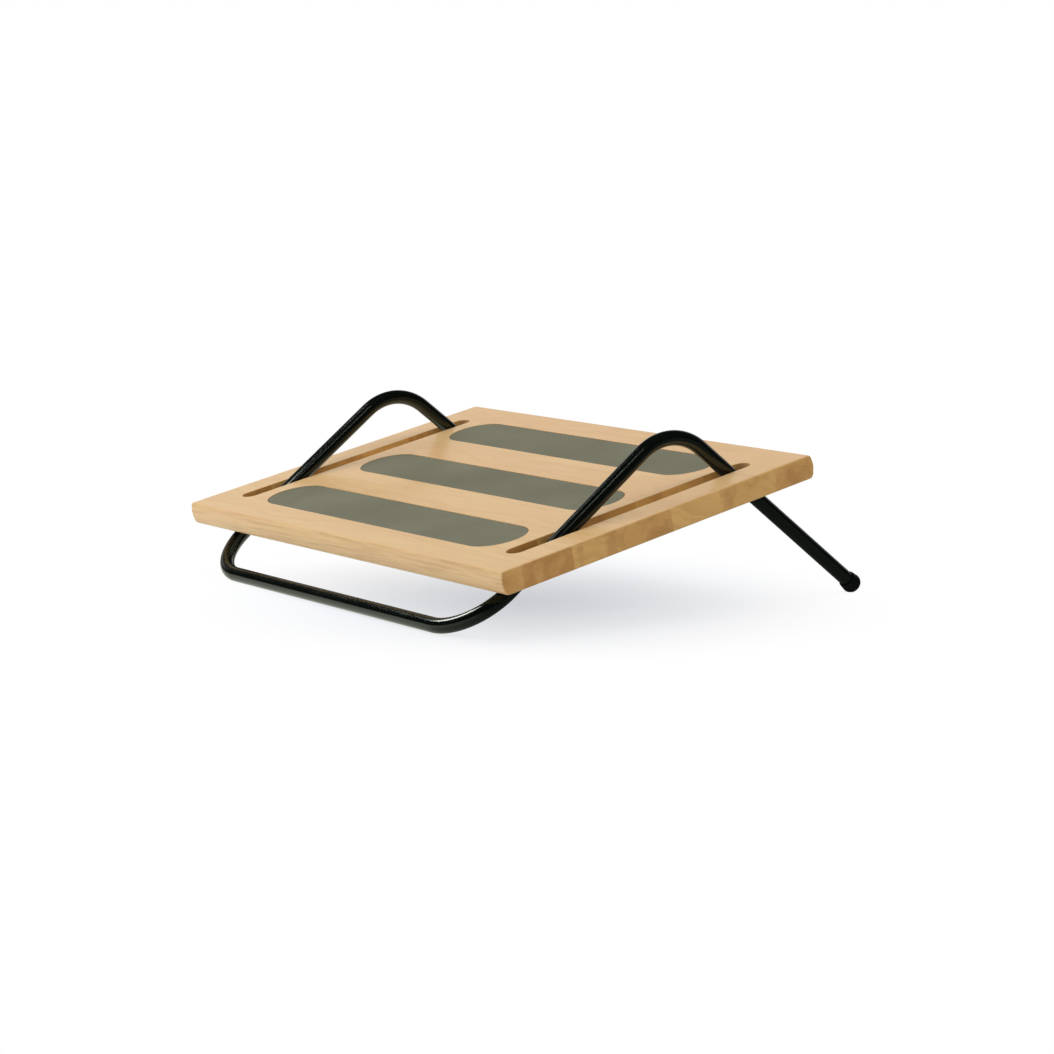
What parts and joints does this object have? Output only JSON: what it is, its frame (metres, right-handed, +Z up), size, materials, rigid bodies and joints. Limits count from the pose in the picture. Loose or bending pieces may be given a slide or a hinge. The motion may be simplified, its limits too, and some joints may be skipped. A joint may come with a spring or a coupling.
{
  "type": "tilting under desk footrest",
  "caption": "Wooden foot platform with inlaid grip pads that rocks fore and aft on grooved rollers along the sloping legs of a bent steel tube stand.",
  "frame": {"origin": "centre of the footprint's bounding box, on the floor", "axes": "+X to the sitter's right along the board's long side, +Y from the front bar to the rear feet, +Z up"},
  "size_m": [0.48, 0.4134, 0.1526],
  "materials": {
    "tube_paint": "satin black powder coat on bent steel tube",
    "cap_rubber": "moulded black rubber",
    "board_wood": "edge-glued beech staves, satin lacquer",
    "pad_rubber": "matte olive grey sheet rubber",
    "axle_steel": "bright drawn steel rod",
    "roller_nylon": "turned black nylon",
    "zinc_steel": "pressed steel strap, zinc plated",
    "screw_steel": "zinc plated wood screw"
  },
  "bodies": {
    "frame": {"frame_tube": "tube_paint", "foot_cap_left": "cap_rubber", "foot_cap_right": "cap_rubber"},
    "front_axle": {"front_axle": "axle_steel"},
    "platform": {"board": "board_wood", "pad_front": "pad_rubber", "pad_middle": "pad_rubber", "pad_rear": "pad_rubber", "rear_axle": "axle_steel", "saddle_front_left_outer": "zinc_steel", "saddle_front_left_inner": "zinc_steel", "saddle_front_right_inner": "zinc_steel", "saddle_front_right_outer": "zinc_steel", "saddle_rear_left_outer": "zinc_steel", "saddle_rear_left_inner": "zinc_steel", "saddle_rear_right_inner": "zinc_steel", "saddle_rear_right_outer": "zinc_steel", "screw_front_left_outer_a": "screw_steel", "screw_front_left_outer_b": "screw_steel", "screw_front_left_inner_a": "screw_steel", "screw_front_left_inner_b": "screw_steel", "screw_front_right_inner_a": "screw_steel", "screw_front_right_inner_b": "screw_steel", "screw_front_right_outer_a": "screw_steel", "screw_front_right_outer_b": "screw_steel", "screw_rear_left_outer_a": "screw_steel", "screw_rear_left_outer_b": "screw_steel", "screw_rear_left_inner_a": "screw_steel", "screw_rear_left_inner_b": "screw_steel", "screw_rear_right_inner_a": "screw_steel", "screw_rear_right_inner_b": "screw_steel", "screw_rear_right_outer_a": "screw_steel", "screw_rear_right_outer_b": "screw_steel"},
    "roller_front_left": {"roller_front_left": "roller_nylon"},
    "roller_front_right": {"roller_front_right": "roller_nylon"},
    "roller_rear_left": {"roller_rear_left": "roller_nylon"},
    "roller_rear_right": {"roller_rear_right": "roller_nylon"}
  },
  "joints": [
    {"name": "front_axle_travel", "type": "slide", "parent": "frame", "child": "front_axle", "axis": [0, 0.7955, 0.606], "range_m": [0, 0.0932]},
    {"name": "board_tilt", "type": "hinge", "parent": "front_axle", "child": "platform", "pos_m": [0, -0.16643, 0.04749], "axis": [1, 0, 0], "range_deg": [-24.6, 0]},
    {"name": "roller_front_left_spin", "type": "hinge", "parent": "front_axle", "child": "roller_front_left", "pos_m": [-0.2026, -0.16643, 0.04749], "axis": [1, 0, 0], "range_deg": [-971, 0]},
    {"name": "roller_front_right_spin", "type": "hinge", "parent": "front_axle", "child": "roller_front_right", "pos_m": [0.2026, -0.16643, 0.04749], "axis": [1, 0, 0], "range_deg": [-971, 0]},
    {"name": "roller_rear_left_spin", "type": "hinge", "parent": "platform", "child": "roller_rear_left", "pos_m": [-0.2026, 0.09249, 0.10394], "axis": [1, 0, 0], "range_deg": [-946, 0]},
    {"name": "roller_rear_right_spin", "type": "hinge", "parent": "platform", "child": "roller_rear_right", "pos_m": [0.2026, 0.09249, 0.10394], "axis": [1, 0, 0], "range_deg": [-946, 0]}
  ],
  "couplings": [
    {"joint": "front_axle_travel", "follows": "board_tilt", "m_per_rad": -0.21698},
    {"joint": "roller_front_left_spin", "follows": "board_tilt", "ratio": 39.45},
    {"joint": "roller_front_right_spin", "follows": "board_tilt", "ratio": 39.45},
    {"joint": "roller_rear_left_spin", "follows": "board_tilt", "ratio": 38.45},
    {"joint": "roller_rear_right_spin", "follows": "board_tilt", "ratio": 38.45}
  ]
}
